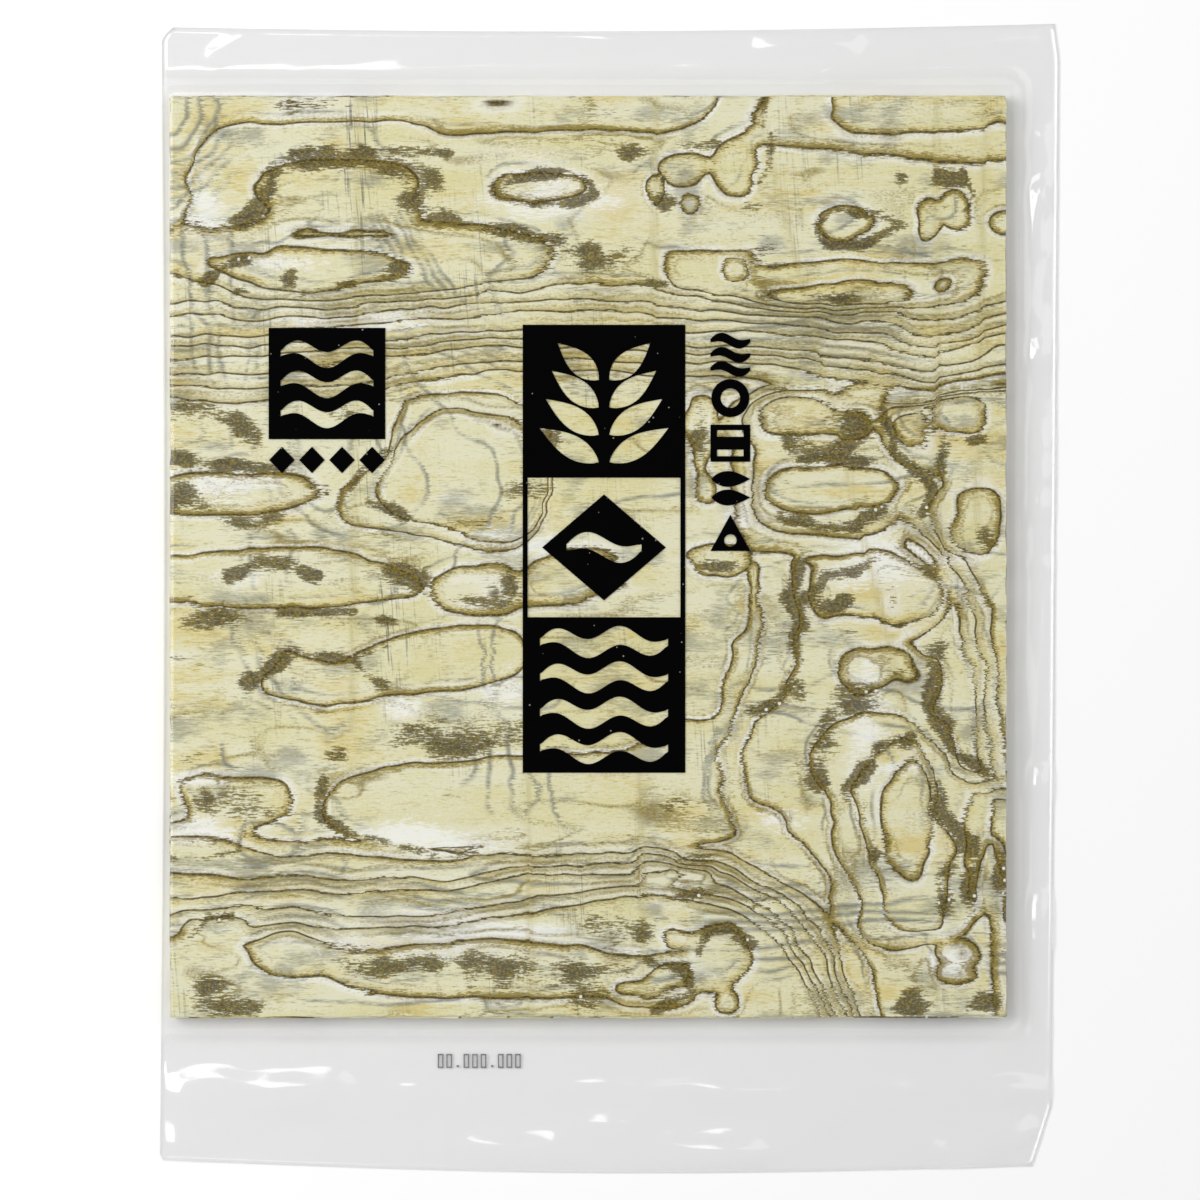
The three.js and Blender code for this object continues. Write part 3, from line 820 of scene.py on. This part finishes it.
def printed(name, outlines):
    """Flat outlines, with holes where one lies in another, cut on a grid and laid on the film."""
    curve = bpy.data.curves.new(name, "CURVE")
    curve.dimensions = "2D"
    curve.fill_mode = "BOTH"
    for points in outlines:
        spline = curve.splines.new("POLY")
        spline.points.add(len(points) - 1)
        for point, (x, y) in zip(spline.points, points):
            point.co = (x, y, 0, 1)
        spline.use_cyclic_u = True
    drawn = placed(name + "_drawn", curve)
    bpy.context.view_layer.update()
    build = bmesh.new()
    build.from_mesh(drawn.evaluated_get(bpy.context.evaluated_depsgraph_get()).to_mesh())
    bpy.data.objects.remove(drawn)
    bmesh.ops.remove_doubles(build, verts=build.verts, dist=0.001)
    xs = [v.co.x for v in build.verts]
    ys = [v.co.y for v in build.verts]
    for axis, values in (((1, 0, 0), xs), ((0, 1, 0), ys)):
        for cut in np.arange(min(values) + INK_GRID, max(values), INK_GRID):
            everything = build.verts[:] + build.edges[:] + build.faces[:]
            bmesh.ops.bisect_plane(build, geom=everything, plane_co=Vector(axis) * float(cut), plane_no=axis)
    mesh = bpy.data.meshes.new(name)
    build.to_mesh(mesh)
    build.free()
    co = np.zeros((len(mesh.vertices), 3))
    mesh.vertices.foreach_get("co", co.ravel())
    co[:, 2] = film_rise(co[:, 0], co[:, 1]) + INK_LIFT
    mesh.vertices.foreach_set("co", (co * MM).ravel())
    piece = placed(name, mesh)
    layer = piece.modifiers.new("thickness", "SOLIDIFY")
    layer.thickness = INK_THICKNESS * MM
    layer.offset = 0
    return piece


# The square mark, with three waves in it, and a row of lozenges under it.
MARK_MIDDLE, MARK_SIZE = (-64, 48.7), (26.4, 25.2)
MARK_WAVE = (21, 1.5, 3.6, 1.5)  # length, swing, thickness and crests, as for all waves
MARK_PITCH = 6.8  # of its waves and of the lozenges
ROW_Y, ROW_LOZENGES = 31.4, 4
mark = [rectangle(*MARK_MIDDLE, *MARK_SIZE)]
mark += [wave(MARK_MIDDLE[0], MARK_MIDDLE[1] + MARK_PITCH * k, *MARK_WAVE) for k in (1, 0, -1)]
row = [lozenge(MARK_MIDDLE[0] + (k - (ROW_LOZENGES - 1) / 2) * MARK_PITCH, ROW_Y, 2.9, 3)
       for k in range(ROW_LOZENGES)]

# The tall panel: a sprig on black, a black lozenge in an open cell, and waves on black.
PANEL_X, PANEL_WIDTH = -1.3, 36.8
UPPER_CELL, OPEN_CELL, LOWER_CELL = (62.0, 27.4), (27.4, -4.2), (-4.2, -39.4)
PANEL_RULE = 1.1
LEAF_ROWS, LEAF_PITCH, LEAF_LENGTH, LEAF_WIDTH = 4, 6.2, 15.5, 5.2
OPEN_WAVE, LOWER_WAVE, LOWER_PITCH = (17, 1.6, 4.2, 1), (29, 1.5, 4.4, 2), 8
upper = [rectangle(PANEL_X, sum(UPPER_CELL) / 2, PANEL_WIDTH, UPPER_CELL[0] - UPPER_CELL[1])]
for k in range(LEAF_ROWS):
    foot = UPPER_CELL[1] + 3.5 + LEAF_PITCH * k
    for side in (-1, 1):
        turn = math.radians(90 - side * (60 - 4 * k))
        upper.append(leaf(PANEL_X + 1.2 * side, foot, LEAF_LENGTH - k, LEAF_WIDTH, turn))
open_height = OPEN_CELL[0] - OPEN_CELL[1]
open_middle = sum(OPEN_CELL) / 2
opened = [
    rectangle(PANEL_X, open_middle, PANEL_WIDTH, open_height),
    rectangle(PANEL_X, open_middle, PANEL_WIDTH - 2 * PANEL_RULE, open_height),
    lozenge(PANEL_X, open_middle, 14, 12),
    wave(PANEL_X, open_middle, *OPEN_WAVE),
]
lower = [rectangle(PANEL_X, sum(LOWER_CELL) / 2, PANEL_WIDTH, LOWER_CELL[0] - LOWER_CELL[1])]
lower += [wave(PANEL_X, LOWER_CELL[0] - 5.6 - LOWER_PITCH * k, *LOWER_WAVE) for k in range(4)]

# The five small marks: plain shapes of one size.
COLUMN_X, COLUMN_TOP, COLUMN_PITCH, COLUMN_SIZE = 27.3, 55.6, 10.2, 9.0
COLUMN_WAVE = (COLUMN_SIZE, 0.8, 2.2, 1)
column = []
for k in range(5):
    cy = COLUMN_TOP - COLUMN_PITCH * k
    if k == 0:
        column += [wave(COLUMN_X, cy + dy, *COLUMN_WAVE) for dy in (2.8, -0.4, -3.6)]
    elif k == 1:
        column += [disc(COLUMN_X, cy, 4.3), disc(COLUMN_X, cy, 2.2)]
    elif k == 2:
        column.append(rectangle(COLUMN_X, cy, COLUMN_SIZE, 8.4))
        column += [rectangle(COLUMN_X, cy + dy, 6, 1.5) for dy in (2.2, -2.2)]
    elif k == 3:
        column += [leaf(COLUMN_X - 4.3, cy + dy, 8.8, 3.6, 0) for dy in (2.1, -2.1)]
    else:
        column.append([(COLUMN_X - 4.5, cy - 4.0), (COLUMN_X + 4.5, cy - 4.0), (COLUMN_X, cy + 4.2)])
        column.append(disc(COLUMN_X, cy - 1.6, 1.4))

# Solvent ink on film: dense black with a low gloss, and a few pinholes.
INK_BLACK, INK_PINHOLE = linear("#010102"), linear("#8A8A80")
PINHOLE_PITCH, INK_ROUGHNESS, INK_SPECULAR = 3.2, 0.3, 0.03


def black_ink():
    made, tree, output = material("black gravure ink")
    place = add(tree, "TexCoord", out=3)
    pinhole = add(tree, "TexVoronoi", place, 1 / (PINHOLE_PITCH * MM))
    pinhole = add(tree, "MapRange", pinhole, 0.07, 0.04)
    colour = add(tree, "Mix", pinhole, INK_BLACK, INK_PINHOLE, data_type="RGBA")
    surface = add(tree, "BsdfPrincipled", colour, 0.0, INK_ROUGHNESS)
    surface.node.inputs["Specular IOR Level"].default_value = INK_SPECULAR
    tree.links.new(surface, output.inputs[0])
    return made


ink = black_ink()
for name, outlines in (("print_mark", mark), ("print_row", row), ("print_upper_cell", upper),
                       ("print_open_cell", opened), ("print_lower_cell", lower), ("print_column", column)):
    piece = printed(name, outlines)
    piece.data.materials.append(ink)
    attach(piece, "root")
    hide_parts("sealed_bag")


# ---------------------------------------------------------------------------------------------------------
# The small stamp below the stack. It is thin grey ink on the film, here a plain row of dots and dashes.

STAMP_LEFT, STAMP_MIDDLE_Y, STAMP_PITCH, STAMP_COUNT = -38.4, -105, 1.95, 10
stamp = []
for k in range(STAMP_COUNT):
    cx = STAMP_LEFT + STAMP_PITCH * k
    if k in (2, 6):
        stamp.append(rectangle(cx, STAMP_MIDDLE_Y - 1.2, 0.5, 0.5))
    else:
        stamp += [rectangle(cx, STAMP_MIDDLE_Y, 1.3, 3.2), rectangle(cx, STAMP_MIDDLE_Y, 0.7, 2.6)]
STAMP_GREY, STAMP_FAINT = linear("#4A4A4E"), linear("#8C8C90")
STAMP_BLOTCH, STAMP_ROUGHNESS = 0.8, 0.5


def stamp_ink():
    made, tree, output = material("grey stamp ink")
    place = add(tree, "TexCoord", out=3)
    patchy = add(tree, "TexNoise", place, 1 / (STAMP_BLOTCH * MM))
    colour = add(tree, "Mix", patchy, STAMP_GREY, STAMP_FAINT, data_type="RGBA")
    surface = add(tree, "BsdfPrincipled", colour, 0.0, STAMP_ROUGHNESS)
    tree.links.new(surface, output.inputs[0])
    return made


stamp_piece = printed("print_stamp", stamp)
stamp_piece.data.materials.append(stamp_ink())
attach(stamp_piece, "root")
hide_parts("sealed_bag")


# ---------------------------------------------------------------------------------------------------------
# The room: a plain pale floor, a broad soft light from the left, and weaker ones from the right and from
# the upper left.

FLOOR_SIZE = 6
floor_build = bmesh.new()
bmesh.ops.create_grid(floor_build, x_segments=1, y_segments=1, size=FLOOR_SIZE / 2)
floor_mesh = bpy.data.meshes.new("floor")
floor_build.to_mesh(floor_mesh)
floor_build.free()
floor = placed("floor", floor_mesh)
floor_paint, floor_tree, floor_output = material("matt white floor")
floor_surface = add(floor_tree, "BsdfDiffuse", linear("#FBFBFB"))
floor_tree.links.new(floor_surface, floor_output.inputs[0])
floor.data.materials.append(floor_paint)

LIGHTS = [  # place, size and power
    ((-0.8, 0.2, 0.95), 0.7, 8.5),
    ((0.8, 0.4, 1.2), 1.0, 2.8),
    ((-0.3, 0.66, 1.1), 0.4, 1.7),
]
for k, (place, size, power) in enumerate(LIGHTS):
    lamp_data = bpy.data.lights.new(f"softbox_{k + 1}", "AREA")
    lamp_data.size = size
    lamp_data.energy = power
    lamp = placed(lamp_data.name, lamp_data)
    lamp.location = place
    lamp.rotation_euler = (-Vector(place)).to_track_quat("-Z", "Y").to_euler()
world = bpy.data.worlds.new("studio")
world.use_nodes = True
background = world.node_tree.nodes["Background"]
background.inputs["Color"].default_value = (1, 1, 1, 1)
background.inputs["Strength"].default_value = 0.5
bpy.context.scene.world = world
bpy.context.scene.view_settings.view_transform = "Standard"
